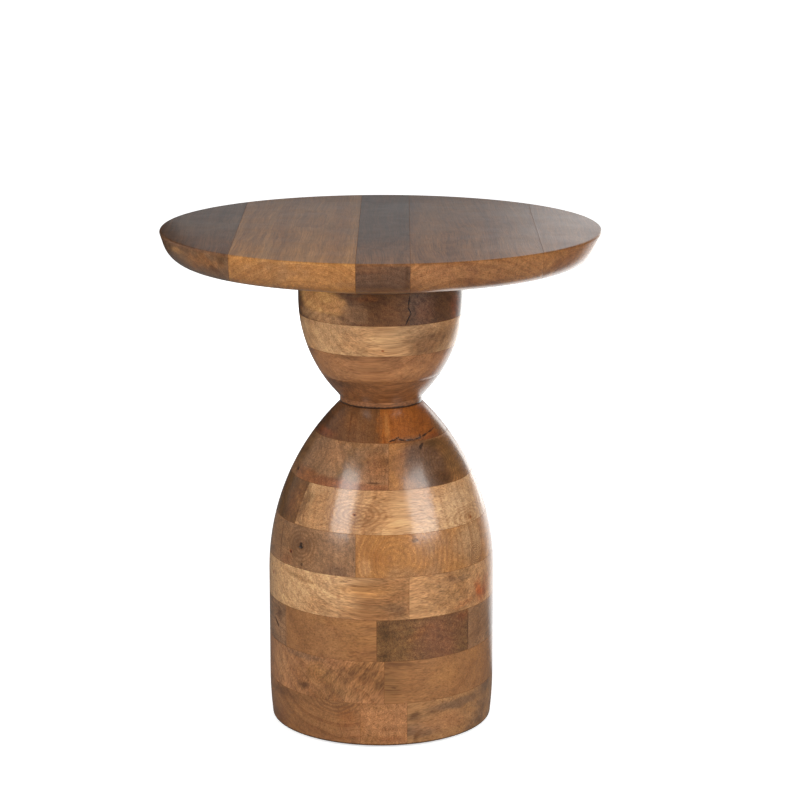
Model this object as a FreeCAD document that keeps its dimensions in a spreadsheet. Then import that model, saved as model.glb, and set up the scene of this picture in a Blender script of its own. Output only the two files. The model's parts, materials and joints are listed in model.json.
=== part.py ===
import FreeCAD, Part
import math
import os
import Sketcher

# Round accent table: a turned base and a turned cup, both glued up from courses of boards,
# under a round top of edge-glued planks. Lengths are millimetres, angles are degrees.
# The origin is the centre of the foot circle on the floor, +Z is up, and the front is -Y.

doc = FreeCAD.newDocument("accent_table")
sheet = doc.addObject("Spreadsheet::Sheet", "sizes")

# Driving sizes
SIZES = {
    # Floor to top face
    "overall_height": 514,
    # Top
    "top_radius": 222.5,
    "top_thickness": 54.5,
    "top_edge_chamfer": 2.5,
    "top_side_height": 13,
    "top_side_lean": 18,
    "top_corner_radius": 28,
    # Cup: the upper turned form, from the neck to the top
    "cup_rim_radius": 84,
    "cup_band_height": 17,
    "neck_radius": 42,
    "neck_stem_height": 7,
    "cup_edge_chamfer": 1.6,
    # Base: the lower turned form, from the floor to the neck
    "belly_radius": 116,
    "belly_height": 155,
    "foot_inset": 2.6,
    "foot_chamfer": 2,
    # What the lathe takes off each side of the square blanks
    "turning_allowance": 5,
    # Square loose tenons that keep the three turned parts in line while the glue sets
    "tenon_width": 16,
    "tenon_length": 44,
    "tenon_clearance": 0.1,
    "tenon_end_gap": 1,
    # Felt pads under the foot
    "pad_width": 24,
    "pad_thickness": 2.5,
    "pad_inset": 8,
}

PADS = 4
CORNER_CHORDS = 3
FULL_TURN = 360
PAD_TURN = 45

# The base's share of the height under the top; the cup takes the rest
BASE_HEIGHT_SHARE = 0.7265

# Seams between courses, as shares of the height of the base and of the cup
BASE_SEAM_SHARES = [0, 0.137, 0.2705, 0.4012, 0.5325, 0.6593, 0.7852, 0.9117, 1]
CUP_SEAM_SHARES = [0, 0.244, 0.488, 0.744, 1]

# Boards of each course in plan: name, left, right, front, back,
# as shares of half the square blank's width
BASE_PLAN_SHARES = {
    1: [("left", -1, -0.17, -1, 1), ("middle", -0.17, 0.22, -1, 1), ("right", 0.22, 1, -1, 1)],
    2: [("left", -1, 0.03, -1, 1), ("right", 0.03, 1, -1, 1)],
    3: [
        ("far_left", -1, -0.8, -1, 1),
        ("left", -0.8, -0.033, -1, 1),
        ("right", -0.033, 0.732, -1, 1),
        ("far_right", 0.732, 1, -1, 1),
    ],
    4: [("left", -1, 0.236, -1, 1), ("right", 0.236, 1, -1, 1)],
    5: [("left", -1, -0.205, -1, 1), ("right", -0.205, 1, -1, 1)],
    6: [("front", -1, 1, -1, -0.28), ("back", -1, 1, -0.28, 1)],
    7: [("left", -1, 0.066, -1, 1), ("right", 0.066, 1, -1, 1)],
    8: [("left", -1, -0.008, -1, 1), ("right", -0.008, 1, -1, 1)],
}
CUP_PLAN_SHARES = {
    1: [("whole", -1, 1, -1, 1)],
    2: [("whole", -1, 1, -1, 1)],
    3: [("whole", -1, 1, -1, 1)],
    4: [("left", -1, 0.32, -1, 1), ("right", 0.32, 1, -1, 1)],
}
TOP_PLAN_SHARES = [
    ("far_left", -1, -0.63, -1, 1),
    ("left", -0.63, -0.097, -1, 1),
    ("centre", -0.097, 0.128, -1, 1),
    ("right", 0.128, 0.686, -1, 1),
    ("far_right", 0.686, 1, -1, 1),
]

# The base's course whose boards lie turned from straight across the front
TURNED_COURSES = {6: 18}

# The curves of the dome and the cup are set out by points on a circle at these heights:
# the seams, and half way between seams where the curve is tight
DOME_STATIONS = [
    "base_seam_2",
    "base_seam_3",
    "base_seam_4",
    "base_middle_5",
    "base_seam_5",
    "base_middle_6",
    "base_seam_6",
    "base_middle_7",
    "base_seam_7",
    "base_middle_8",
]
CUP_STATIONS = ["cup_middle_1", "cup_seam_1", "cup_middle_2", "cup_seam_2", "cup_middle_3"]


def curve_cells(stations, widest, circle, level):
    """The radius at each station, on a circle that stands upright where it reaches its widest."""
    return {
        f"{station}_radius": f"{widest} - {circle} + sqrt({circle}^2 - ({level} - {station})^2)"
        for station in stations
    }


def circle_through(drop, inset):
    """The circle that leaves the upright and comes in by an inset over a drop."""
    return f"(({drop})^2 + ({inset})^2) / (2 * ({inset}))"


def corner_cells():
    """Points on the round corner between the top's dish and its leaning side."""
    cells = {}
    for number in range(CORNER_CHORDS + 1):
        angle = f"(top_dish_slope - {FULL_TURN} / 4 + {number} * top_corner_step)"
        cells[f"top_corner_{number}_radius"] = f"top_corner_centre_radius + top_corner_radius * cos({angle})"
        cells[f"top_corner_{number}_height"] = f"top_corner_centre_height + top_corner_radius * sin({angle})"
    return cells


# Sizes worked out from the driving ones
DERIVED = {
    "base_half_blank": "belly_radius + turning_allowance",
    "cup_half_blank": "cup_rim_radius + turning_allowance",
    "top_half_blank": "top_radius + turning_allowance",
    "base_level": "pad_thickness",
    "base_height": f"(overall_height - base_level - top_thickness) * {BASE_HEIGHT_SHARE}",
    "cup_level": "base_level + base_height",
    "top_level": "overall_height - top_thickness",
    "cup_height": "top_level - cup_level",
    **{f"base_seam_{n}": f"base_height * {share}" for n, share in enumerate(BASE_SEAM_SHARES)},
    **{f"base_middle_{n}": f"(base_seam_{n - 1} + base_seam_{n}) / 2" for n in BASE_PLAN_SHARES},
    **{f"cup_seam_{n}": f"cup_height * {share}" for n, share in enumerate(CUP_SEAM_SHARES)},
    "cup_middle_1": "(neck_stem_height + cup_seam_1) / 2",
    "cup_middle_2": "(cup_seam_1 + cup_seam_2) / 2",
    "cup_middle_3": "(cup_seam_2 + cup_seam_3) / 2",
    "cup_band_foot": "cup_height - cup_band_height",
    "cup_rim_foot": "min(cup_seam_3; cup_band_foot)",
    "cup_foot_radius": "neck_radius - cup_edge_chamfer",
    "foot_radius": "belly_radius - foot_inset",
    "foot_flat_radius": "foot_radius - foot_chamfer",
    "dome_circle": circle_through("base_height - belly_height", "belly_radius - neck_radius"),
    "cup_circle": circle_through("cup_band_foot - neck_stem_height", "cup_rim_radius - neck_radius"),
    **curve_cells(DOME_STATIONS, "belly_radius", "dome_circle", "belly_height"),
    **curve_cells(CUP_STATIONS, "cup_rim_radius", "cup_circle", "cup_band_foot"),
    "top_flat_radius": "top_radius - top_edge_chamfer",
    "top_rim_height": "top_thickness - top_edge_chamfer",
    "top_side_foot": "top_thickness - top_side_height",
    "top_side_foot_radius": "top_radius - (top_rim_height - top_side_foot) * tan(top_side_lean)",
    "top_corner_centre_radius": "top_side_foot_radius - top_corner_radius * cos(top_side_lean)",
    "top_corner_centre_height": "top_side_foot + top_corner_radius * sin(top_side_lean)",
    "top_corner_run": "top_corner_centre_radius - cup_rim_radius",
    "top_corner_reach": "sqrt(top_corner_run^2 + top_corner_centre_height^2)",
    "top_dish_slope": "(atan(top_corner_centre_height / top_corner_run)"
    " - asin(top_corner_radius / top_corner_reach)) / 1 deg",
    "top_corner_step": f"({FULL_TURN} / 4 - top_side_lean - top_dish_slope) / {CORNER_CHORDS}",
    **corner_cells(),
    "mortise_width": "tenon_width + 2 * tenon_clearance",
    "mortise_depth": "tenon_length / 2 + tenon_end_gap",
    "base_mortise_foot": "base_height - mortise_depth",
    "cup_mortise_foot": "cup_height - mortise_depth",
    "neck_tenon_level": "cup_level - tenon_length / 2",
    "top_tenon_level": "top_level - tenon_length / 2",
    "pad_offset": "foot_flat_radius - pad_inset - pad_width",
}


def fill_sheet():
    """Writes one size to a row: its name in column A, its value or formula in column B."""
    rows = [(alias, str(value)) for alias, value in SIZES.items()]
    rows += [(alias, "=" + formula) for alias, formula in DERIVED.items()]
    for number, (alias, content) in enumerate(rows, start=1):
        sheet.set(f"A{number}", alias)
        sheet.set(f"B{number}", content)
        sheet.setAlias(f"B{number}", alias)
    doc.recompute()


def size(alias):
    """The number that a named cell holds."""
    return float(sheet.get(alias))


def bind(thing, **names):
    """Binds properties of an object to expressions of the sheet's cells."""
    for prop, expression in names.items():
        thing.setExpression(prop.replace("__", "."), expression)


def cell(alias):
    return f"sizes.{alias}"


# Sketches and turning


def origin_feature(body, role):
    return next(feature for feature in body.Origin.OriginFeatures if feature.Role == role)


def corner(radius, height):
    """A corner's place in the sketch, from its two named sizes; None is the axis or the sketch's foot."""
    return FreeCAD.Vector(size(radius) if radius else 0, size(height) if height else 0, 0)


def pin_start(sketch, side, radius, height):
    """Ties the start of one side to two named sizes, or to a sketch axis where a name is None."""
    for kind, axis, alias in (("DistanceX", -2, radius), ("DistanceY", -1, height)):
        if alias is None:
            sketch.addConstraint(Sketcher.Constraint("PointOnObject", side, 1, axis))
            continue
        number = sketch.addConstraint(Sketcher.Constraint(kind, -1, 1, side, 1, size(alias)))
        label = f"{kind}_{side}"
        sketch.renameConstraint(number, label)
        sketch.setExpression(f"Constraints.{label}", cell(alias))


def draw_outline(sketch, corners):
    """A closed outline of lines through named corners."""
    places = [corner(*names) for names in corners]
    for side, start in enumerate(places):
        sketch.addGeometry(Part.LineSegment(start, places[(side + 1) % len(places)]), False)
    for side, names in enumerate(corners):
        before = (side - 1) % len(corners)
        sketch.addConstraint(Sketcher.Constraint("Coincident", before, 2, side, 1))
        pin_start(sketch, side, *names)


def turned_body(name, corners, level):
    """A body turned about the table's axis, with the foot of its outline at a level."""
    body = doc.addObject("PartDesign::Body", name)
    sketch = body.newObject("Sketcher::SketchObject", name + "_profile")
    sketch.AttachmentSupport = [(origin_feature(body, "XZ_Plane"), "")]
    sketch.MapMode = "FlatFace"
    draw_outline(sketch, corners)
    turned = body.newObject("PartDesign::Revolution", name + "_turned")
    turned.Profile = sketch
    turned.ReferenceAxis = (sketch, ["V_Axis"])
    turned.Angle = FULL_TURN
    bind(body, Placement__Base__z=cell(level))
    doc.recompute()
    return body


def cut_mortise(body, name, foot=None):
    """A square mortise on the axis of a turned body, from the end of the form or from a named height."""
    mortise = body.newObject("PartDesign::SubtractiveBox", name)
    width = cell("mortise_width")
    bind(
        mortise,
        Length=width,
        Width=width,
        Height=cell("mortise_depth"),
        Placement__Base__x=f"-{width} / 2",
        Placement__Base__y=f"-{width} / 2",
    )
    if foot:
        bind(mortise, Placement__Base__z=cell(foot))
    doc.recompute()


# Turned forms


def make_base_form():
    """The bullet-shaped base: a slightly tapered foot, an upright belly and a dome up to the neck."""
    on_dome = [station for station in DOME_STATIONS if size(station) > size("belly_height")]
    body = turned_body(
        "base_form",
        [
            (None, None),
            ("foot_flat_radius", None),
            ("foot_radius", "foot_chamfer"),
            ("belly_radius", "base_seam_1"),
            ("belly_radius", "belly_height"),
            *[(station + "_radius", station) for station in on_dome],
            ("neck_radius", "base_height"),
            (None, "base_height"),
        ],
        "base_level",
    )
    cut_mortise(body, "base_mortise", "base_mortise_foot")
    return body


def make_cup_form():
    """The cup that flares from a short stem at the neck to an upright rim under the top."""
    on_flare = [station for station in CUP_STATIONS if size(station) < size("cup_rim_foot")]
    body = turned_body(
        "cup_form",
        [
            (None, None),
            ("cup_foot_radius", None),
            ("neck_radius", "cup_edge_chamfer"),
            ("neck_radius", "neck_stem_height"),
            *[(station + "_radius", station) for station in on_flare],
            ("cup_rim_radius", "cup_rim_foot"),
            ("cup_rim_radius", "cup_height"),
            (None, "cup_height"),
        ],
        "cup_level",
    )
    cut_mortise(body, "cup_neck_mortise")
    cut_mortise(body, "cup_rim_mortise", "cup_mortise_foot")
    return body


def make_top_form():
    """The round top: flat above, dished below from the cup's rim to a rounded corner and a leaning side."""
    corner_points = [f"top_corner_{number}" for number in range(CORNER_CHORDS + 1)]
    body = turned_body(
        "top_form",
        [
            (None, None),
            ("cup_rim_radius", None),
            *[(point + "_radius", point + "_height") for point in corner_points],
            ("top_radius", "top_rim_height"),
            ("top_flat_radius", "top_thickness"),
            (None, "top_thickness"),
        ],
        "top_level",
    )
    cut_mortise(body, "top_mortise")
    return body


# Boards


def make_board(name, form, half_blank, shares, level, height, turn):
    """One board of the square blank, kept where it lies inside the turned form."""
    left, right, front, back = shares
    half = cell(half_blank)
    blank = doc.addObject("Part::Box", name + "_blank")
    bind(
        blank,
        Length=f"{half} * ({right} - ({left}))",
        Width=f"{half} * ({back} - ({front}))",
        Height=height,
        Placement__Base__x=f"{half} * (({left}) * cos({turn}) - ({front}) * sin({turn}))",
        Placement__Base__y=f"{half} * (({left}) * sin({turn}) + ({front}) * cos({turn}))",
        Placement__Base__z=level,
    )
    blank.Placement.Rotation = FreeCAD.Rotation(FreeCAD.Vector(0, 0, 1), turn)
    board = doc.addObject("Part::Common", name)
    board.Base = form
    board.Tool = blank
    return board


def make_courses(part, form, plan_shares, turned_courses):
    """Every board of the base or the cup, course by course from the bottom."""
    boards = []
    for number, course in plan_shares.items():
        seam_below = cell(f"{part}_seam_{number - 1}")
        level = f"{cell(part + '_level')} + {seam_below}"
        height = f"{cell(f'{part}_seam_{number}')} - {seam_below}"
        turn = turned_courses.get(number, 0)
        for board, *shares in course:
            name = f"{part}_course_{number}_{board}_board"
            boards.append(make_board(name, form, part + "_half_blank", shares, level, height, turn))
    return boards


def make_planks(form):
    """The planks of the top, edge-glued side by side."""
    return [
        make_board(
            f"top_{plank}_plank", form, "top_half_blank", shares, cell("top_level"), cell("top_thickness"), 0
        )
        for plank, *shares in TOP_PLAN_SHARES
    ]


# Tenons and pads


def make_tenon(name, level):
    """A square loose tenon on the table's axis."""
    tenon = doc.addObject("Part::Box", name)
    width = cell("tenon_width")
    bind(
        tenon,
        Length=width,
        Width=width,
        Height=cell("tenon_length"),
        Placement__Base__x=f"-{width} / 2",
        Placement__Base__y=f"-{width} / 2",
        Placement__Base__z=cell(level),
    )
    return tenon


def make_pads():
    """The square felt pads that the table stands on, in a ring under the foot."""
    pads = doc.addObject("PartDesign::Body", "felt_pads")
    pad = pads.newObject("PartDesign::AdditiveBox", "pad")
    width = cell("pad_width")
    bind(
        pad,
        Length=width,
        Width=width,
        Height=cell("pad_thickness"),
        Placement__Base__x=cell("pad_offset"),
        Placement__Base__y=f"-{width} / 2",
    )
    ring = pads.newObject("PartDesign::PolarPattern", "pad_ring")
    ring.Originals = [pad]
    ring.Axis = (origin_feature(pads, "Z_Axis"), [""])
    ring.Angle = FULL_TURN
    ring.Occurrences = PADS
    pads.Tip = ring
    pads.Placement.Rotation = FreeCAD.Rotation(FreeCAD.Vector(0, 0, 1), PAD_TURN)
    return pads


# Assembly

fill_sheet()
base_form = make_base_form()
cup_form = make_cup_form()
top_form = make_top_form()
sub_parts = [
    *make_courses("base", base_form, BASE_PLAN_SHARES, TURNED_COURSES),
    *make_courses("cup", cup_form, CUP_PLAN_SHARES, {}),
    *make_planks(top_form),
    make_tenon("neck_tenon", "neck_tenon_level"),
    make_tenon("top_tenon", "top_tenon_level"),
    make_pads(),
]
doc.recompute()

# Checks, then one STEP file for each sub-part

for thing in doc.Objects:
    if "Invalid" in thing.State or "Error" in thing.State:
        raise RuntimeError(f"{thing.Label} did not compute: {thing.State}")
for sub_part in sub_parts:
    if sub_part.Shape.isNull() or not sub_part.Shape.isValid() or not sub_part.Shape.Solids:
        raise RuntimeError(f"{sub_part.Label} has no sound solid")

os.makedirs("parts", exist_ok=True)
for sub_part in sub_parts:
    sub_part.Shape.exportStep(f"parts/{sub_part.Label}.step")
print(f"{len(sub_parts)} sub-parts written")
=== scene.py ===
"""A round accent table: a turned base, a turned cup and a round top, glued up from boards.

Each board is turned, sawn, eased and lacquered in its own place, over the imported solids.
"""

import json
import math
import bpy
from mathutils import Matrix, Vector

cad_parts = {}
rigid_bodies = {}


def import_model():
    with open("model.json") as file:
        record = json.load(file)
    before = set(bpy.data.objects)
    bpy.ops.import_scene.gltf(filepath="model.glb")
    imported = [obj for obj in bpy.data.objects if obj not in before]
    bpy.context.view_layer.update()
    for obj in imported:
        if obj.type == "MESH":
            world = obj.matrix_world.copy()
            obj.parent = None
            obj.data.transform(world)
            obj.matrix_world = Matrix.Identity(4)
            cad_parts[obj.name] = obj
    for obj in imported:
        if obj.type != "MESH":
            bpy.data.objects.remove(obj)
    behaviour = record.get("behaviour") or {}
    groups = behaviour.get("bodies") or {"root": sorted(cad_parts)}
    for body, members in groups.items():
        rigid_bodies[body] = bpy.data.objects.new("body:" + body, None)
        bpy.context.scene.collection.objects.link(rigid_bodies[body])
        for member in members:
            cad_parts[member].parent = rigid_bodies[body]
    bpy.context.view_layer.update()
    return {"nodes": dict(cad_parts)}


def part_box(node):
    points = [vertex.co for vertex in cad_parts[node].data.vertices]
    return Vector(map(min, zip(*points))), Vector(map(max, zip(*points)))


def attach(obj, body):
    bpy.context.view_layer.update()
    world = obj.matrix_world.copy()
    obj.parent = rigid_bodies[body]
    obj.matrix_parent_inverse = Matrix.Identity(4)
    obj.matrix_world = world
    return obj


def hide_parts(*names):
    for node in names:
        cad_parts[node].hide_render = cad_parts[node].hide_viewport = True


bl_info = {
    "name": "Turned accent table",
    "version": (1, 0, 0),
    "blender": (4, 5, 0),
    "location": "3D View > Sidebar > Accent table",
    "description": "Turns, saws and finishes the boards of a round accent table",
    "category": "Add Mesh",
}

from typing import NamedTuple

import bmesh
import bpy
from bpy.props import FloatProperty, FloatVectorProperty, IntProperty, PointerProperty
from mathutils import Vector

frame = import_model()

MM = 0.001
WHITE = (1, 1, 1, 1)

# Tolerances: metres, and the share of a face's direction that counts as square to a plane
WELD_GAP = 1e-6
PLANE_GAP = 1e-5
SQUARE = 0.9999


# Places read from the frame


def low(node):
    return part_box(node)[0]


def high(node):
    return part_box(node)[1]


def levels_of(boards):
    """The lower and the upper seam of a course."""
    return low(boards[0]).z, high(boards[0]).z


def boards_of(prefix):
    """The frame's boards of one course, from left to right."""
    found = [name for name in frame["nodes"] if name.startswith(prefix)]
    return sorted(found, key=lambda name: low(name).x)


TURNED_COURSE = ["base_course_6_front_board", "base_course_6_back_board"]
BASE_COURSES = [boards_of(f"base_course_{number}_") for number in range(1, 9)]
BASE_COURSES[5] = TURNED_COURSE
CUP_COURSES = [boards_of(f"cup_course_{number}_") for number in range(1, 5)]
TOP_PLANKS = [name for name in boards_of("top_") if name.endswith("_plank")]

BASE_FOOT = low(BASE_COURSES[0][0]).z
BASE_TAPER_END = high(BASE_COURSES[0][0]).z
NECK_LEVEL = low(CUP_COURSES[0][0]).z
TOP_LEVEL = low(TOP_PLANKS[2]).z
TABLE_HEIGHT = high(TOP_PLANKS[2]).z
BELLY_RADIUS = high(BASE_COURSES[1][-1]).x
CUP_RIM_RADIUS = high(CUP_COURSES[3][-1]).x
TOP_RADIUS = min(high(TOP_PLANKS[-1]).x, -low(TOP_PLANKS[0]).x)


# Sizes and tones that a user would change


def length_property(name, description, millimetres):
    return FloatProperty(
        name=name, description=description, default=millimetres * MM, min=0, subtype="DISTANCE", unit="LENGTH"
    )


def angle_property(name, description, degrees):
    return FloatProperty(
        name=name, description=description, default=math.radians(degrees), subtype="ANGLE", unit="ROTATION"
    )


def linear(*bytes_of_tone):
    """A tone as a screen shows it, 0 to 255, in the scene's own linear light."""
    shares = [value / 255 for value in bytes_of_tone]
    return tuple(share / 12.92 if share <= 0.04045 else ((share + 0.055) / 1.055) ** 2.4 for share in shares)


def tone_property(name, description, *bytes_of_tone):
    return FloatVectorProperty(
        name=name, description=description, default=linear(*bytes_of_tone), min=0, max=1, subtype="COLOR"
    )


class TableSizes(bpy.types.PropertyGroup):
    """Lengths and angles of the turned forms that the frame's boxes do not give."""

    sides: IntProperty(name="Sides", description="Flats round each turned form", default=256, min=32, max=512)
    ring_step: length_property("Ring step", "Greatest height between two rings of a turned form", 5)
    belly_height: length_property("Belly height", "Floor to where the dome starts to close", 157.5)
    foot_inset: length_property("Foot inset", "How far the foot draws in from the belly", 2.6)
    foot_round: length_property("Foot round", "Radius of the edge under the base", 2)
    neck_radius: length_property("Neck radius", "Radius where the cup meets the base", 42)
    neck_stem: length_property("Neck stem", "Height of the upright stem over the neck", 7)
    neck_round: length_property("Neck round", "Radius of the edges that make the neck's groove", 1.6)
    cup_band: length_property("Cup band", "Height of the upright band under the top", 17)
    top_edge_round: length_property("Top edge round", "Radius of the edge of the top face", 2.5)
    top_side_height: length_property("Top side height", "Height of the top's leaning side", 13)
    top_side_lean: angle_property("Top side lean", "Lean of the top's side from upright", 18)
    top_corner_round: length_property("Top corner round", "Radius under the top's leaning side", 28)
    arris: length_property("Arris", "Width eased off each board's edges at its glue joints", 0.15)
    sliver: length_property("Sliver", "Least width that a joint leaves of a flat", 0.4)


class TableTones(bpy.types.PropertyGroup):
    """Tones of the wood, from pale sapwood to bark, and of the hidden parts."""

    cream: tone_property("Cream", "Palest sapwood", 206, 170, 130)
    honey: tone_property("Honey", "Golden pale sapwood", 202, 158, 111)
    wheat: tone_property("Wheat", "Pale sapwood", 186, 138, 92)
    tan: tone_property("Tan", "Middle tone of the sapwood", 164, 118, 74)
    amber: tone_property("Amber", "Orange sapwood", 174, 120, 66)
    copper: tone_property("Copper", "Deep orange wood beside bark", 140, 80, 33)
    chestnut: tone_property("Chestnut", "Even orange brown", 150, 102, 60)
    rose: tone_property("Rose", "Pinkish brown", 166, 114, 72)
    clay: tone_property("Clay", "Dull pinkish brown", 148, 108, 74)
    russet: tone_property("Russet", "Reddish brown", 132, 86, 52)
    rust: tone_property("Rust", "Red stain along a bark line", 140, 72, 34)
    umber: tone_property("Umber", "Middle brown", 110, 72, 42)
    cocoa: tone_property("Cocoa", "Dark brown heartwood", 88, 56, 32)
    olive: tone_property("Olive", "Greenish brown", 120, 84, 48)
    moss: tone_property("Moss", "Dark greenish brown", 86, 58, 30)
    ash: tone_property("Ash", "Greyish brown", 122, 90, 64)
    plum: tone_property("Plum", "Purplish brown", 102, 72, 52)
    # The bark tone also paints the shade lines at the foot's edge and in the neck's groove
    bark: tone_property("Bark", "Knots, cracks and bark lines", 40, 24, 14)
    gold: tone_property("Gold", "Golden sapwood under the top", 214, 156, 92)
    mulberry: tone_property("Mulberry", "Dull purplish red", 128, 80, 52)
    flame: tone_property("Flame", "Orange red stain", 166, 82, 30)
    glue: tone_property("Glue", "Thin line of a glue joint", 104, 68, 44)
    beech: tone_property("Beech", "Unfinished wood of the loose tenons", 196, 160, 118)
    felt: tone_property("Felt", "Pads under the foot", 70, 56, 44)
    floor: tone_property("Floor", "Studio floor", 236, 236, 236)


def sizes():
    return bpy.context.scene.accent_table_sizes


def tone(name):
    """One of the table's tones, with an alpha of 1."""
    return (*getattr(bpy.context.scene.accent_table_tones, name), 1)


# How each board was cut and what its face shows


class Stain(NamedTuple):
    """A change of tone under the grain, as an oval on a turned form.

    Lengths are millimetres and angles are degrees.
    """

    turn: float
    height: float
    wide: float
    high: float
    tone: str
    strength: float = 0.8
    lean: float = 0
    soft: float = 0.9
    rough: float = 0.35


class Knot(NamedTuple):
    """A knot, crack or bark line over the grain, in units as for a stain.

    One with a depth is also cut into the wood.
    """

    turn: float
    height: float
    wide: float
    high: float
    tone: str = "bark"
    strength: float = 0.9
    lean: float = 0
    soft: float = 0.4
    rough: float = 0.4
    deep: float = 0


class Swirl(NamedTuple):
    """Fine rings round a knot, in an oval on a turned form. Lengths are millimetres, angles degrees."""

    turn: float
    height: float
    wide: float
    high: float
    tone: str
    strength: float = 0.5
    lean: float = 0
    lines: float = 5


class PaintedShadeLine(NamedTuple):
    """A wandering dark line right round a form at a height, in millimetres, painted as shade: under the
    foot's edge and in the neck's groove.
    """

    height: float
    high: float
    tone: str = "bark"
    strength: float = 0.9
    rough: float = 0.6


class Cut(NamedTuple):
    """One board: its slot in the record, which is not used here, its tones, and how it was cut from the log.

    run is how far its fibres turn from straight across the front towards the back, and rise how far
    they climb, in degrees. pith is the heart of the log, from the board's middle, in millimetres. ripple
    is how far the figure stands in the surface, which breaks up the highlights.
    """

    slot: str
    light: str
    dark: str
    run: float = 0
    rise: float = 0
    pith: tuple = (0, 60, -160)
    ring: float = 9
    rings: float = 0.35
    fleck: float = 0.5
    pores: float = 0.5
    ripple: float = 0.9
    cloud: float = 55
    balance: float = 0.5
    marks: tuple = ()

    def marked(self, *marks):
        return self._replace(marks=marks)


# Marks that several boards share, or that come in a row
# Painted shade: a dark line round the foot's lower edge, where the gap over the floor falls in shadow
PAINTED_FOOT_SHADE = PaintedShadeLine(3.2, 2.6, strength=0.7, rough=0.3)
RIM_CRACK = [
    Knot(turn, height, 1.5, high, strength=0.95, lean=lean, rough=0.6, deep=0.6)
    for turn, height, high, lean in ((19.5, 451.5, 12, 8), (20.1, 442.8, 8, -26), (19, 433.6, 14, 26))
]
SLANTED_STREAKS = [
    Stain(turn, 75, 30, 2.6, "umber", 0.6, lean=-54, rough=0.7)
    for turn in (-28, -21.5, -16, -10)
]

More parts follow.
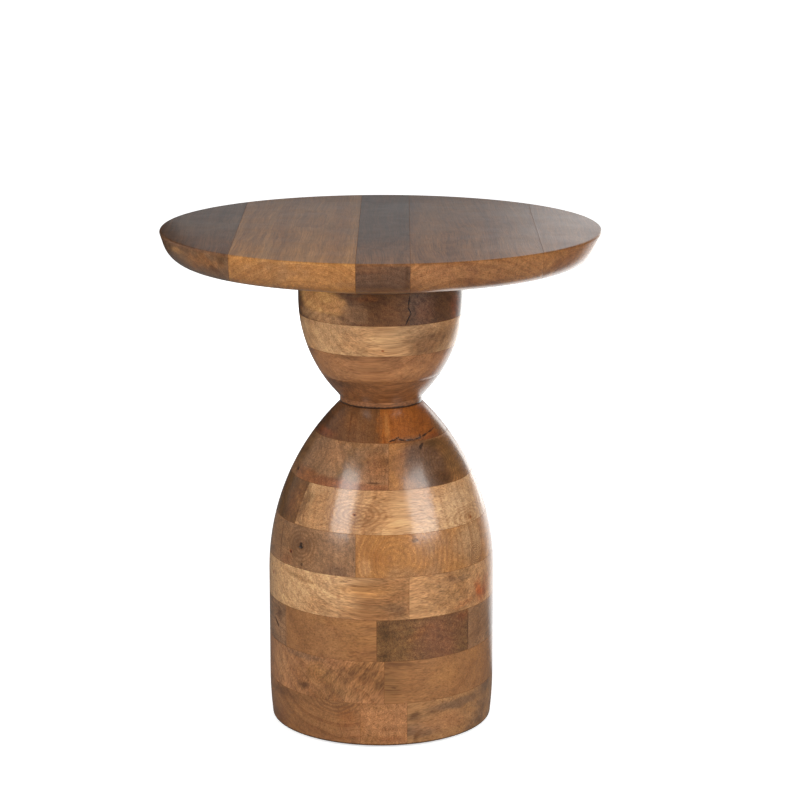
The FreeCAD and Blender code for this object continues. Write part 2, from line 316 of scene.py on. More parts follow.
CUTS = {
    "base_course_1_left_board": Cut(
        "red_brown_wood", "chestnut", "russet", run=70, rise=4, pith=(60, 0, 95), ring=6, rings=0.5
    ).marked(
        PAINTED_FOOT_SHADE,
        Stain(-58, 42, 60, 12, "cocoa", 0.5),
        Stain(-10, 26, 34, 50, "rose", 0.75, rough=0.5),
        Stain(-17, 33, 24, 18, "copper", 0.5, soft=0.8, rough=0.5),
        Stain(-40, 12, 60, 12, "russet", 0.5),
        Swirl(-24, 56, 84, 66, "umber", 0.7, lines=9),
        Stain(-118, 24, 90, 26, "cocoa", 0.5),
        Swirl(-140, 12, 80, 60, "umber", 0.5, lines=8),
    ),
    "base_course_1_middle_board": Cut(
        "tan_wood", "rose", "chestnut", run=90, pith=(0, 0, -120),
        ring=12, rings=0.15, fleck=0.7, pores=0.6
    ).marked(
        PAINTED_FOOT_SHADE,
        Stain(-9, 30, 8, 40, "copper", 0.2),
        Stain(0, 44, 50, 5, "chestnut", 0.5),
        Stain(3.2, 20.8, 16, 4, "russet", 0.6, soft=0.8),
        Stain(6, 10, 30, 8, "rust", 0.3),
    ),
    "base_course_1_right_board": Cut(
        "olive_wood", "tan", "ash", run=8, rise=6, pith=(0, 90, 120), ring=7, rings=0.35, pores=0.6
    ).marked(
        PAINTED_FOOT_SHADE,
        Stain(34, 22, 66, 22, "rose", 0.7, soft=0.7),
        Stain(42, 39, 76, 11, "ash", 0.85, lean=-2, soft=0.6),
        Stain(17.3, 34.4, 16, 9, "cocoa", 0.7, soft=0.8),
        Stain(27, 35.5, 16, 4, "cocoa", 0.5, lean=-5, soft=0.8),
        Stain(18.4, 11, 6, 14, "umber", 0.7, lean=24, soft=0.8),
        Stain(120, 28, 80, 24, "russet", 0.6),
        Swirl(160, 27, 60, 40, "umber", 0.6, lines=6),
        Knot(160, 27, 7, 5, deep=0.7),
    ),
    "base_course_2_left_board": Cut(
        "olive_wood", "rose", "chestnut", run=20, rise=52, pith=(40, 60, -60), ring=6, rings=0.5, fleck=0.7
    ).marked(
        Stain(-60, 72, 46, 34, "rose", 0.75, soft=0.7),
        Stain(-62, 72, 40, 36, "wheat", 0.45),
        Stain(-44, 89, 62, 8, "ash", 0.7, soft=0.7),
        Stain(-42.3, 58.5, 20, 8, "cocoa", 0.65, soft=0.8, rough=0.6),
        Stain(-22, 57.5, 30, 8, "olive", 0.6, lean=10, soft=0.8, rough=0.6),
        Stain(-13.6, 82.5, 26, 7, "olive", 0.55, lean=-16, rough=0.6),
        Stain(-32, 73, 28, 18, "amber", 0.5, soft=0.8),
        Swirl(-32, 73, 44, 34, "olive", 0.45, lines=5),
        Stain(0, 69, 18, 26, "olive", 0.7, rough=0.5),
        Stain(-16, 70, 40, 30, "olive", 0.3, rough=0.5),
        *SLANTED_STREAKS,
        Stain(-130, 70, 90, 30, "tan", 0.6),
        Stain(-100, 86, 60, 10, "umber", 0.6, soft=0.8),
    ),
    "base_course_2_right_board": Cut(
        "tan_wood", "chestnut", "chestnut", run=4, rise=-3, pith=(0, 130, -120),
        ring=14, rings=0.22, fleck=0.45
    ).marked(
        Stain(7, 89, 32, 6.5, "umber", 0.85, soft=0.7),
        Stain(5, 68, 22, 26, "olive", 0.6),
        Knot(6.6, 64.5, 5, 2.6, "cocoa", 0.6, rough=0.6),
        Stain(34, 74, 44, 32, "amber", 0.4),
        Stain(54, 86, 30, 12, "amber", 0.4),
        Swirl(138, 70, 74, 46, "umber", 0.55, lines=7),
        Knot(138, 70, 8, 6, deep=0.8),
        Knot(144, 66, 4, 4, "rust", 0.8),
        Stain(100, 60, 60, 20, "russet", 0.45),
    ),
    "base_course_3_far_left_board": Cut(
        "dark_wood", "clay", "ash", run=90, pith=(40, 0, 60), ring=6, rings=0.5, fleck=0.8
    ).marked(
        Stain(-63.2, 124, 12, 14, "cocoa", 0.75, soft=0.7),
        Stain(-63, 97, 16, 10, "clay", 0.7, soft=0.8),
        Knot(-66.5, 112.5, 15, 2.6, lean=35, rough=0.4, deep=0.5),
        Stain(-110, 112, 70, 30, "umber", 0.5),
    ),
    "base_course_3_left_board": Cut(
        "tan_wood", "chestnut", "chestnut", run=2, rise=5, pith=(0, 160, -90),
        ring=15, rings=0.22, fleck=0.45
    ).marked(
        Stain(-20, 130, 80, 8, "amber", 0.35),
        Stain(-12, 112, 60, 26, "amber", 0.3, lean=-14),
        Stain(-8, 102, 34, 16, "russet", 0.4),
        Stain(-170, 112, 60, 24, "olive", 0.5),
    ),
    "base_course_3_right_board": Cut(
        "red_brown_wood", "olive", "umber", run=90, pith=(-10, 0, -70),
        ring=7, rings=0.4, fleck=0.8, pores=0.6
    ).marked(
        Stain(33, 113, 60, 50, "mulberry", 0.75, soft=0.7, rough=0.5),
        Stain(20, 120, 30, 10, "copper", 0.35, lean=-30),
        Stain(46, 130, 22, 8, "rust", 0.45, soft=0.8, rough=0.6),
        Swirl(40, 122, 40, 44, "cocoa", 0.45, lines=6),
        Stain(49.3, 112, 3, 40, "cocoa", 0.7, soft=0.8),
        Stain(2.5, 124, 14, 26, "moss", 0.75, soft=0.8, rough=0.6),
        Stain(2, 98, 12, 16, "moss", 0.6, soft=0.8, rough=0.6),
        Stain(160, 114, 60, 30, "moss", 0.5),
    ),
    "base_course_3_far_right_board": Cut(
        "olive_wood", "clay", "umber", run=90, rise=10, pith=(-60, 0, 80), ring=8, rings=0.35, fleck=0.6
    ).marked(
        Stain(58, 114, 30, 44, "umber", 0.45),
        Stain(100, 112, 60, 26, "tan", 0.5),
    ),
    "base_course_4_left_board": Cut(
        "honey_wood", "honey", "wheat", run=-6, rise=-2, pith=(0, 60, -150),
        ring=8, rings=0.45, fleck=0.7, balance=0.4
    ).marked(
        Stain(6, 158, 108, 70, "chestnut", 0.9, soft=0.6),
        Stain(-8, 166, 60, 16, "amber", 0.7),
        Stain(-20.5, 174, 34, 7, "honey", 0.8, soft=0.8),
        Stain(10, 146, 26, 14, "ash", 0.5),
        Knot(-71, 163, 4, 5, "rust", 0.8),
        Knot(-74, 170, 3, 4, "bark", 0.8, deep=0.4),
        Stain(-45, 170, 60, 5, "tan", 0.6, lean=8, soft=0.8),
        Swirl(-132, 158, 84, 40, "chestnut", 0.6, lines=7),
        Knot(-132, 158, 6, 4, "rust", 0.9),
        Knot(-132, 158, 3, 2, deep=0.4),
    ),
    "base_course_4_right_board": Cut(
        "tan_wood", "tan", "wheat", run=10, rise=8, pith=(0, 120, 90),
        ring=8, rings=0.3, fleck=0.7, balance=0.75
    ).marked(
        Stain(58, 152, 48, 34, "copper", 0.3),
        Stain(62, 150, 30, 28, "flame", 0.95, lean=20, rough=0.9),
        Stain(64, 147, 9, 14, "rust", 0.6, rough=0.9),
        Stain(47, 142.5, 34, 6, "flame", 0.35, lean=-10, rough=0.8),
        Stain(37, 172.5, 14, 8, "umber", 0.55, soft=0.8, rough=0.6),
        Stain(44, 170, 34, 9, "ash", 0.5, soft=0.8),
        Stain(120, 158, 70, 30, "chestnut", 0.6),
    ),
    "base_course_5_left_board": Cut(
        "red_brown_wood", "clay", "ash", run=86, pith=(-20, 0, 4),
        ring=6, rings=0.35, fleck=0.7, balance=0.4
    ).marked(
        Swirl(-46, 202, 62, 56, "umber", 0.6, lines=7),
        Stain(-46, 201, 24, 20, "plum", 0.5, soft=0.8),
        Knot(-45.7, 202, 7, 7, "bark", 0.95, rough=0.4, deep=0.9),
        Knot(-45, 202.6, 2.8, 2.8, "clay", 0.7, rough=0.5),
        Knot(-53, 194, 5, 5, "rust", 0.9),
        Knot(-53, 193.5, 3, 3, deep=0.4),
        Stain(-63.8, 200, 3, 50, "cocoa", 0.7, lean=-8, soft=0.7),
        Stain(-56, 184, 22, 14, "rust", 0.3),
        Stain(-74, 204, 30, 44, "tan", 0.4),
        Stain(-22, 184, 34, 18, "plum", 0.6),
        Knot(-44, 184, 4, 3, "bark", 0.6),
        Stain(-120, 204, 70, 40, "umber", 0.45),
    ),
    "base_course_5_right_board": Cut(
        "tan_wood", "amber", "tan", run=90, pith=(-26, 0, -2), ring=5, rings=0.5, fleck=0.55, balance=0.45
    ).marked(
        Knot(18.4, 215.4, 7, 4.4, "cocoa", 0.75, rough=0.6),
        Stain(0, 200, 30, 20, "copper", 0.3, rough=0.6),
        Stain(36.4, 203, 2.4, 40, "russet", 0.5, lean=6, soft=0.7),
        Stain(50, 204, 66, 44, "clay", 0.5, soft=0.7),
        Stain(56, 207, 56, 44, "cream", 0.4),
        Swirl(7, 200, 124, 116, "russet", 0.32, lines=11),
        Swirl(58, 189, 40, 32, "umber", 0.65, lean=30, lines=8),
        Stain(-8, 188, 14, 20, "honey", 0.4),
        Swirl(120, 200, 60, 44, "chestnut", 0.5, lines=7),
        Stain(170, 200, 60, 40, "rose", 0.5),
    ),
    "base_course_6_front_board": Cut(
        "honey_wood", "wheat", "honey", run=12, rise=1, pith=(0, 190, -60),
        ring=5, rings=0.4, fleck=0.55, pores=0.7,
        ripple=2.4
    ).marked(
        Stain(-24, 242, 90, 50, "tan", 0.4),
        Stain(20, 242, 24, 44, "tan", 0.35),
        Stain(-49, 252, 14, 30, "olive", 0.75, lean=-8, rough=0.9),
        Stain(-51, 236, 10, 36, "umber", 0.7, lean=-8, rough=0.9),
        Stain(52, 246, 54, 44, "cream", 0.75),
        Stain(24, 242, 30, 44, "tan", 0.2),
        Swirl(-14.7, 239.8, 88, 40, "russet", 0.62, lines=7),
        Knot(-14.7, 239.8, 5, 3, "rust", 0.85),
        Knot(-14.7, 239.8, 2.4, 1.8, "bark", 0.8, deep=0.3),
        Swirl(57.9, 228, 104, 32, "russet", 0.42, lines=6),
        Stain(57.9, 227, 7, 7, "chestnut", 0.8, soft=0.8),
        Knot(58.4, 226.4, 3, 2.6, "rust", 0.9, deep=0.3),
        Stain(95, 242, 50, 40, "tan", 0.4),
    ),
    "base_course_6_back_board": Cut(
        "olive_wood", "olive", "umber", run=18, rise=25, pith=(0, 40, -90), ring=7, rings=0.5, fleck=0.7
    ).marked(
        Stain(-66, 231, 26, 16, "cocoa", 0.55, soft=0.8),
        Stain(-58, 250, 26, 12, "olive", 0.5, soft=0.8),
        Stain(-62, 244, 40, 44, "moss", 0.5),
        Stain(-58, 242, 30, 40, "copper", 0.4),
        Stain(-57, 243, 10, 36, "tan", 0.3, lean=-8, rough=0.9),
        Stain(-120, 242, 80, 30, "russet", 0.45),
        Swirl(165, 244, 76, 40, "cocoa", 0.6, lines=7),
        Knot(165, 244, 7, 5, deep=0.6),
        Stain(125, 238, 60, 24, "ash", 0.45),
    ),
    "base_course_7_left_board": Cut(
        "olive_wood", "clay", "olive", run=62, rise=-24, pith=(-30, 40, -70),
        ring=6, rings=0.3, fleck=0.7, pores=0.6
    ).marked(
        Swirl(-60, 290, 80, 70, "moss", 0.25, lean=40, lines=9),
        Stain(-36, 292, 34, 26, "rose", 0.3),
        Stain(-57, 268, 52, 16, "copper", 0.75, lean=3, soft=0.5),
        Stain(-33, 267, 60, 13, "russet", 0.9, soft=0.45),
        Stain(-33, 267, 56, 11, "rust", 0.4, soft=0.6),
        Stain(-6, 265.5, 52, 8, "rust", 0.5, soft=0.7),
        Stain(-3, 282, 40, 34, "copper", 0.4),
        Knot(-5, 269.9, 15, 1.8, "cocoa", 0.85, rough=0.5),
        Knot(-71, 270, 7, 4.5, "bark", 0.8, rough=0.5, deep=0.5),
        Stain(-72, 286, 20, 30, "olive", 0.5),
        Stain(-2, 288, 30, 40, "russet", 0.5, soft=0.8),
        Stain(-130, 284, 70, 30, "umber", 0.5),
    ),
    "base_course_7_right_board": Cut(
        "tan_wood", "chestnut", "russet", run=80, rise=6, pith=(-10, 0, -120),
        ring=9, rings=0.25, fleck=0.6
    ).marked(
        Stain(9, 273, 10, 20, "amber", 0.6, lean=-10, soft=0.8),
        Stain(36, 283, 56, 54, "plum", 0.95, soft=0.4),
        Stain(46, 270, 24, 18, "cocoa", 0.85, soft=0.7),
        Stain(68, 282, 42, 54, "olive", 0.8, soft=0.6),
        Swirl(47, 282, 66, 90, "moss", 0.45, lean=-8, lines=9),
        Knot(35, 300.5, 9, 3, "bark", 0.8, lean=-40, rough=0.6),
        Stain(50, 301, 32, 8, "moss", 0.75, soft=0.7),
        Stain(130, 284, 60, 34, "moss", 0.55),
    ),
    "base_course_8_left_board": Cut(
        "dark_wood", "umber", "cocoa", run=90, pith=(-220, 0, 30),
        ring=6, rings=0.5, fleck=0.6, balance=0.4
    ).marked(
        Stain(-1, 320, 8, 40, "copper", 0.6, rough=0.6),
        Stain(-34, 318, 26, 24, "russet", 0.5),
        Stain(-62, 309, 40, 8, "rust", 0.5, soft=0.7),
        Stain(-75, 320, 24, 24, "cocoa", 0.4),
    ),
    "base_course_8_right_board": Cut(
        "tan_wood", "copper", "copper", run=88, pith=(-180, 0, -20), ring=8, rings=0.4, fleck=0.5
    ).marked(
        Stain(6, 320, 6, 34, "amber", 0.5),
        Stain(0, 318, 5, 40, "umber", 0.5, soft=0.8, rough=0.7),
        Stain(44, 305.5, 76, 6, "umber", 0.9, soft=0.4, rough=0.5),
        Stain(52, 306.5, 36, 7, "rust", 0.5, soft=0.6),
        Stain(74, 313, 26, 26, "olive", 0.8, soft=0.6),
        Stain(28, 308.6, 48, 4, "russet", 0.6, soft=0.8),
        Knot(10.4, 307.6, 9, 1.8, lean=-14, rough=0.9, deep=0.2),
        Knot(15, 309.6, 4, 2.6, "bark", 0.8, lean=-30, rough=0.9),
        Knot(18, 308, 10, 1.8, lean=12, rough=0.9, deep=0.2),
        Knot(26.6, 307, 11, 1.7, lean=2, rough=0.9, deep=0.2),
        Knot(35, 307.5, 9, 1.6, lean=-9, rough=0.9, deep=0.2),
        Knot(38, 309.6, 5, 2.4, "bark", 0.7, lean=-50, rough=0.9),
        Knot(43, 309.3, 10, 1.5, lean=-14, rough=0.9, deep=0.2),
        Knot(54, 311.8, 16, 1.3, "bark", 0.85, lean=-9, rough=0.9),
        Stain(150, 318, 60, 24, "rust", 0.5),
    ),
    "cup_course_1_whole_board": Cut(
        "red_brown_wood", "russet", "umber", run=10, rise=3, pith=(0, 90, 70),
        ring=7, rings=0.4, fleck=0.7, balance=0.35
    ).marked(
        # Painted shade: a dark line in the groove where the cup meets the base
        PaintedShadeLine(335.6, 2),
        Stain(-42, 361, 40, 9, "cocoa", 0.7, soft=0.7),
        Stain(10, 348, 50, 10, "russet", 0.4),
        Stain(60, 352, 40, 20, "chestnut", 0.4),
    ),
    "cup_course_2_whole_board": Cut(
        "tan_wood", "rose", "russet", run=-8, rise=3, pith=(0, 150, -90),
        ring=9, rings=0.3, fleck=0.5, balance=0.65
    ).marked(
        Stain(-24, 393, 30, 5, "umber", 0.6, soft=0.8),
        Stain(10, 370, 70, 6, "russet", 0.4),
        Stain(50, 383, 40, 22, "rose", 0.5),
        Stain(160, 380, 60, 24, "umber", 0.45),
    ),
    "cup_course_3_whole_board": Cut(
        "honey_wood", "honey", "wheat", run=6, rise=2, pith=(0, 130, -70),
        ring=6, rings=0.35, fleck=0.6, balance=0.75
    ).marked(
        Stain(-14, 411, 80, 44, "tan", 0.25),
        Stain(40, 410, 76, 44, "umber", 0.8, soft=0.8, rough=0.5),
        Knot(39.6, 414, 7, 3.4, "cocoa", 0.65, soft=0.8),
        Knot(51.7, 411, 6, 4, "cocoa", 0.6, soft=0.8),
        Knot(1.7, 402, 3, 2.4, "rust", 0.9, deep=0.3),
        Stain(-160, 412, 70, 30, "tan", 0.6),
        Swirl(-130, 411, 60, 34, "chestnut", 0.6, lines=6),
        Knot(-130, 411, 5, 3, "bark", 0.85, deep=0.4),
    ),
    "cup_course_4_left_board": Cut(
        "tan_wood", "umber", "cocoa", run=82, rise=5, pith=(20, 0, -60),
        ring=6, rings=0.4, fleck=0.7, balance=0.35
    ).marked(
        Stain(-48, 450, 76, 30, "gold", 0.95, lean=6, soft=0.35, rough=0.3),
        Stain(-38, 444, 50, 8, "rust", 0.35, lean=4, soft=0.8, rough=0.5),
        Stain(-48, 432, 78, 11, "wheat", 0.7, lean=4, soft=0.5),
        Stain(-48, 442, 70, 30, "cream", 0.12, soft=0.8),
        Stain(-17, 439, 28, 26, "clay", 0.6, soft=0.5),
        Stain(8, 443, 26, 30, "russet", 0.45, soft=0.8),
        Stain(-10, 455, 30, 7, "copper", 0.5, soft=0.8, rough=0.6),
        *RIM_CRACK,
        Stain(-140, 443, 90, 30, "russet", 0.5),
    ),
    "cup_course_4_right_board": Cut(
        "dark_wood", "plum", "cocoa", run=84, rise=-8, pith=(-60, 0, -50), ring=6, rings=0.45, fleck=0.8
    ).marked(
        Stain(30, 442, 26, 34, "mulberry", 0.45, soft=0.7),
        Stain(58, 443, 44, 40, "umber", 0.85, soft=0.8),
        Stain(70, 443, 34, 40, "cocoa", 0.7),
        Stain(64, 440, 24, 26, "rust", 0.6),
        *RIM_CRACK,
        Stain(130, 444, 70, 26, "olive", 0.6),
    ),
    "top_far_left_plank": Cut(
        "olive_wood", "ash", "umber", run=91, pith=(-30, 0, -40), ring=8, rings=0.6, fleck=0.6
    ).marked(
        Stain(-50, 502, 66, 12, "chestnut", 0.85, soft=0.6, rough=0.5),
        Stain(-56, 494, 24, 8, "copper", 0.4, soft=0.8, rough=0.6),
        Stain(-64, 506, 34, 6, "gold", 0.4, lean=-4, soft=0.8, rough=0.7),
        Stain(-47, 496, 26, 7, "cocoa", 0.65, lean=8, soft=0.8, rough=0.7),
        Stain(-43, 505, 14, 10, "moss", 0.6, soft=0.8, rough=0.7),
        Stain(-72, 492, 20, 9, "cocoa", 0.5, rough=0.6),
        Stain(-55, 517, 240, 10, "copper", 0.4, rough=0.1),
    ),
    "top_left_plank": Cut(
        "tan_wood", "amber", "tan", run=89, pith=(14, 0, -45), ring=9, rings=0.55, fleck=0.5
    ).marked(
        Stain(-30, 500, 60, 20, "tan", 0.4),
        Stain(-20, 517, 260, 10, "gold", 0.45, rough=0.1),
    ),
    "top_centre_plank": Cut(
        "red_brown_wood", "plum", "umber", run=90, rise=1, pith=(-10, 0, -40), ring=6, rings=0.5, fleck=0.6
    ).marked(
        Stain(-3, 508, 40, 8, "russet", 0.5),
        Stain(6.8, 498, 4, 40, "cocoa", 0.6, rough=0.5),
        Stain(0, 488, 30, 8, "cocoa", 0.35, rough=0.6),
        Stain(0, 517, 260, 10, "rose", 0.75, rough=0.1),
    ),
    "top_right_plank": Cut(
        "tan_wood", "chestnut", "russet", run=92, pith=(-20, 0, -60),
        ring=8, rings=0.55, fleck=0.6, pores=0.6
    ).marked(
        Stain(12, 503, 40, 30, "rose", 0.6),
        Stain(30, 508, 60, 8, "umber", 0.4),
        Stain(14, 517, 220, 10, "russet", 0.5, rough=0.1),
    ),
    "top_far_right_plank": Cut(
        "tan_wood", "chestnut", "russet", run=89, pith=(20, 0, -50), ring=8, rings=0.55, fleck=0.6
    ).marked(
        Stain(58, 503, 30, 10, "russet", 0.5),
        Stain(50, 497, 16, 9, "umber", 0.6, rough=0.7),
        Knot(53, 499, 4, 2.4, "cocoa", 0.7, rough=0.6),
        Stain(76, 503, 18, 10, "umber", 0.5, rough=0.6),
    ),
}


# Profiles of the turned forms


def closing_radius(widest, narrowest, drop, below):
    """A radius below the widest one, on a circle that comes to the narrowest after the whole drop."""
    inset = widest - narrowest
    circle = (drop**2 + inset**2) / (2 * inset)
    return widest - circle + math.sqrt(circle**2 - below**2)


def base_radius(height):
    """A foot that draws in a little, an upright belly and a dome that closes to the neck."""
    size = sizes()
    if height > size.belly_height:
        drop = NECK_LEVEL - size.belly_height
        return closing_radius(BELLY_RADIUS, size.neck_radius, drop, height - size.belly_height)
    taper = max(BASE_TAPER_END - height, 0) / (BASE_TAPER_END - BASE_FOOT)
    return BELLY_RADIUS - size.foot_inset * taper**2


def cup_radius(height):
    """A short upright stem that flares to an upright band under the top."""
    size = sizes()
    stem_end = NECK_LEVEL + size.neck_stem
    band_foot = TOP_LEVEL - size.cup_band
    if height >= band_foot:
        return CUP_RIM_RADIUS
    if height <= stem_end:
        return size.neck_radius
    return closing_radius(CUP_RIM_RADIUS, size.neck_radius, band_foot - stem_end, band_foot - height)


def round_edge(radius, height, round_radius, start, end, steps=5):
    """Rings over a rounded edge about a centre, from one angle above the level to another, in degrees."""
    angles = [math.radians(start + (end - start) * step / steps) for step in range(steps + 1)]
    return [(radius + round_radius * math.cos(a), height + round_radius * math.sin(a)) for a in angles]


def rings_between(radius_at, foot, head):
    """Rings at even heights, both ends included."""
    steps = math.ceil((head - foot) / sizes().ring_step)
    heights = [foot + (head - foot) * step / steps for step in range(steps + 1)]
    return [(radius_at(height), height) for height in heights]


def course_rings(radius_at, levels, form_foot, edge):
    """Rings of one course, with an edge rounded at the foot of the form's lowest course."""
    foot, head = levels
    if foot > form_foot + edge:
        return rings_between(radius_at, foot, head)
    start = foot + edge
    rounded = round_edge(radius_at(start) - edge, start, edge, -90, 0)
    return rounded[:-1] + rings_between(radius_at, start, head)


def top_rings():
    """Rings of the top: a shallow dish below, a round corner, a leaning side and an eased edge."""
    size = sizes()
    lean, corner, edge = size.top_side_lean, size.top_corner_round, size.top_edge_round
    side_foot = TABLE_HEIGHT - size.top_side_height
    side_foot_radius = TOP_RADIUS - (size.top_side_height - edge) * math.tan(lean)
    centre_radius = side_foot_radius - corner * math.cos(lean)
    centre_height = side_foot + corner * math.sin(lean)
    run, climb = centre_radius - CUP_RIM_RADIUS, centre_height - TOP_LEVEL
    slope = math.atan2(climb, run) - math.asin(corner / math.hypot(run, climb))
    start, end = math.degrees(slope) - 90, -math.degrees(lean)
    corner_rings = round_edge(centre_radius, centre_height, corner, start, end, steps=12)
    dish_end, dish_head = corner_rings[0]
    run, climb = dish_end - CUP_RIM_RADIUS, dish_head - TOP_LEVEL
    steps = math.ceil(run / (2 * size.ring_step))
    shares = [step / steps for step in range(steps)]
    dish = [(CUP_RIM_RADIUS + run * share, TOP_LEVEL + climb * share) for share in shares]
    side = [(TOP_RADIUS, TABLE_HEIGHT - edge)]
    rim = round_edge(TOP_RADIUS - edge, TABLE_HEIGHT - edge, edge, 0, 90)
    return dish + corner_rings + side + rim[1:]


# Making and cutting meshes

SMOOTH_UNDER = math.radians(30)
POCKET_SPARE = Vector((0.2, 0.2, 2)) * MM

# How much of a knot's oval its hollow takes up
HOLLOW_SHARE = 0.9


def alone(piece):
    """Selects one piece and nothing else."""
    bpy.ops.object.select_all(action="DESELECT")
    piece.select_set(True)
    bpy.context.view_layer.objects.active = piece


def shade(piece):
    alone(piece)
    bpy.ops.object.shade_smooth_by_angle(angle=SMOOTH_UNDER)


def select_where(piece, kind, wanted):
    """Selects those edges or faces of a piece in edit mode that pass a test."""
    bpy.ops.mesh.select_mode(type=kind)
    bpy.ops.mesh.select_all(action="DESELECT")
    shape = bmesh.from_edit_mesh(piece.data)
    parts = shape.edges if kind == "EDGE" else shape.faces
    for part in parts:
        part.select_set(wanted(part))
    bmesh.update_edit_mesh(piece.data)


def block_between(lowest, highest):
    """A block from its lowest corner to its highest."""
    bpy.ops.object.select_all(action="DESELECT")
    bpy.ops.mesh.primitive_cube_add(size=1, location=(lowest + highest) / 2)
    block = bpy.context.object
    block.scale = highest - lowest
    return block


def settle():
    """Takes the selected pieces' places, turns and scales into their meshes."""
    bpy.ops.object.transform_apply(location=True, rotation=True, scale=True)


def turn_blank(name, rings):
    """A closed turned blank, drawn up ring by ring from a disc at its foot."""
    bpy.ops.object.select_all(action="DESELECT")
    radius, height = rings[0]
    sides = sizes().sides
    bpy.ops.mesh.primitive_circle_add(
        vertices=sides, radius=radius, fill_type="NGON", location=(0, 0, height)
    )
    blank = bpy.context.object
    blank.name = name
    settle()
    bpy.ops.object.mode_set(mode="EDIT")
    bpy.ops.mesh.select_all(action="SELECT")
    for next_radius, next_height in rings[1:]:
        lift = (0, 0, next_height - height)
        bpy.ops.mesh.extrude_region_move(TRANSFORM_OT_translate={"value": lift})
        growth = next_radius / radius
        bpy.ops.transform.resize(value=(growth, growth, 1), center_override=(0, 0, 0))
        radius, height = next_radius, next_height
    bpy.ops.mesh.select_all(action="SELECT")
    bpy.ops.mesh.normals_make_consistent(inside=False)
    bpy.ops.object.mode_set(mode="OBJECT")
    return blank


def copy_of(piece, name):
    """A copy with its own mesh."""
    alone(piece)
    bpy.ops.object.duplicate()
    copy = bpy.context.object
    copy.name = name
    return copy


def settle_on_joint(mesh, place, across):
    """Slides points that all but touch a joint round the turned surface onto it, so no sliver is cut."""
    along = Vector((-across.y, across.x, 0))
    depth = place.dot(across)
    for point in mesh.vertices:
        gap = point.co.dot(across) - depth
        spare = point.co.xy.length_squared - depth**2
        if abs(gap) < sizes().sliver and spare > 0:
            side = math.copysign(math.sqrt(spare), point.co.dot(along))
            point.co = across * depth + along * side + Vector((0, 0, point.co.z))


def saw(board, place, across, keep_far):
    """Saws a board along an upright plane and closes the cut."""
    settle_on_joint(board.data, place, across)
    alone(board)
    bpy.ops.object.mode_set(mode="EDIT")
    bpy.ops.mesh.select_all(action="SELECT")
    bpy.ops.mesh.bisect(
        plane_co=place,
        plane_no=across,
        use_fill=True,
        clear_inner=keep_far,
        clear_outer=not keep_far,
        threshold=WELD_GAP,
    )
    bpy.ops.object.mode_set(mode="OBJECT")


def on_plane(face, planes):
    """Whether a face lies on one of the planes."""
    middle = face.calc_center_median()
    return any(
        abs(face.normal.dot(across)) > SQUARE and abs((middle - place).dot(across)) < PLANE_GAP
        for place, across in planes
    )


def ease_arrises(board, planes):
    """Takes a hair off each edge where a glued face meets the surface, as lathe and sanding do."""

    def ends_glued_face(edge):
        return sum(on_plane(face, planes) for face in edge.link_faces) == 1

    alone(board)
    bpy.ops.object.mode_set(mode="EDIT")
    select_where(board, "EDGE", ends_glued_face)
    bpy.ops.mesh.bevel(
        offset=sizes().arris, segments=1, affect="EDGES", clamp_overlap=False, material=1
    )
    bpy.ops.object.mode_set(mode="OBJECT")


def cut_pocket(board, tenon):
    """Cuts the pocket of a loose tenon, a little larger than the tenon."""
    cutter = block_between(*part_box(tenon))
    cutter.scale += POCKET_SPARE
    cut_away(board, cutter)


def sink(board, knot):
    """Cuts the shallow hollow of a knot or a crack into a board."""
    turned = (0, math.radians(knot.lean), math.radians(knot.turn))
    bpy.ops.object.select_all(action="DESELECT")
    bpy.ops.mesh.primitive_uv_sphere_add(
        segments=16, ring_count=9, radius=0.5, location=centre_of(knot), rotation=turned
    )
    cutter = bpy.context.object
    wide, high = knot.wide * HOLLOW_SHARE, knot.high * HOLLOW_SHARE
    cutter.scale = Vector((wide, knot.deep * 2, high)) * MM
    cut_away(board, cutter)


def cut_away(board, cutter):
    """Cuts one piece out of another, and takes the cutter away."""
    alone(board)
    bpy.ops.object.modifier_add(type="BOOLEAN")
    removal = board.modifiers[-1]
    removal.operation = "DIFFERENCE"
    removal.object = cutter
    bpy.ops.object.modifier_apply(modifier=removal.name)
    discard(cutter)


def discard(piece):
    bpy.data.objects.remove(piece, do_unlink=True)


def joints_of(boards):
    """Place and direction across each glue joint of a course, from its first board to its last."""
    if boards == TURNED_COURSE:
        front, back = TURNED_COURSE
        start = Vector((low(front).x, low(back).y, 0))
        along = (Vector((high(front).x, high(front).y, 0)) - start).normalized()
        return [(start, Vector((-along.y, along.x, 0)))]
    return [(Vector((low(board).x, 0, 0)), Vector((1, 0, 0))) for board in boards[1:]]


def make_boards(blank, boards, levels, tenons=()):
    """Saws a turned blank into its boards and finishes each one."""
    joints = joints_of(boards)
    seams = [(Vector((0, 0, level)), Vector((0, 0, 1))) for level in levels]
    for number, node in enumerate(boards):
        board = copy_of(blank, node + "_turned")
        before, after = joints[max(number - 1, 0) : number], joints[number : number + 1]
        for place, across in before:
            saw(board, place, across, keep_far=True)
        for place, across in after:
            saw(board, place, across, keep_far=False)
        board.data.materials.append(wood_material(node, CUTS[node]))
        board.data.materials.append(glue_material())
        ease_arrises(board, seams + before + after)
        for tenon in tenons:
            cut_pocket(board, tenon)
        for knot in kinds(CUTS[node], Knot):
            if knot.deep:
                sink(board, knot)
        shade(board)
        carry(board, node)
    discard(blank)


def carry(piece, node):
    """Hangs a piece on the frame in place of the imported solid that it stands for."""
    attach(piece, "root")
    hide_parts(node)


# Materials

# Share of its true length that a log's fibres have in the place that the patterns are drawn in
DRAWN_OUT = (0.35, 1, 1)

# Waves to the metre of that place, along x, y and z. A log's fibres run along x, and a tenon's along z
FIGURE = (40, 95, 95)
STREAK = (14, 260, 260)
FIBRE = (45, 900, 900)
DASH = (170, 620, 620)
PORE = (300, 1000, 1000)
TENON_FIBRE = (700, 700, 25)
TENON_FLECK = (1400, 500, 160)

